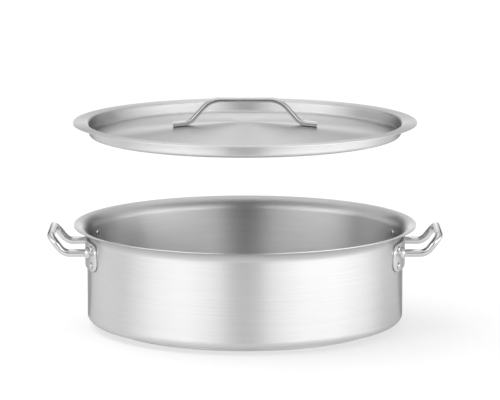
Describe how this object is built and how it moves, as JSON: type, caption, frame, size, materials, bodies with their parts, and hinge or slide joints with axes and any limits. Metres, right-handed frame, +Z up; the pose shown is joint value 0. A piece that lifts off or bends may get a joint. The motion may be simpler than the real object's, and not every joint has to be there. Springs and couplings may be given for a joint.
{
  "type": "cooking pot",
  "caption": "Wide, low stainless steel cooking pot with a flared pouring rim, looped bar handles riveted to its sides, a layered base and a lift-off lid with a strap handle.",
  "frame": {"origin": "on the floor under the middle of the base", "axes": "+X towards the right handle, +Y to the back, +Z up along the pot's axis"},
  "size_m": [0.5002, 0.4358, 0.2913],
  "materials": {
    "satin_steel": "satin brushed",
    "polished_steel": "polished",
    "core_aluminium": "matt"
  },
  "bodies": {
    "pot": {"pot_shell": "satin_steel", "base_core": "core_aluminium", "base_cap": "satin_steel", "left_handle_plate": "polished_steel", "right_handle_plate": "polished_steel", "left_handle_bar": "polished_steel", "right_handle_bar": "polished_steel", "left_rivet_front_upper": "polished_steel", "left_rivet_front_lower": "polished_steel", "left_rivet_rear_upper": "polished_steel", "left_rivet_rear_lower": "polished_steel", "right_rivet_front_upper": "polished_steel", "right_rivet_front_lower": "polished_steel", "right_rivet_rear_upper": "polished_steel", "right_rivet_rear_lower": "polished_steel"},
    "lid": {"lid_pan": "satin_steel", "lid_handle": "polished_steel"}
  },
  "joints": [
    {"name": "lid_lift", "type": "slide", "parent": "pot", "child": "lid", "axis": [0, 0, 1], "range_m": [-0.13, 0.12]}
  ]
}
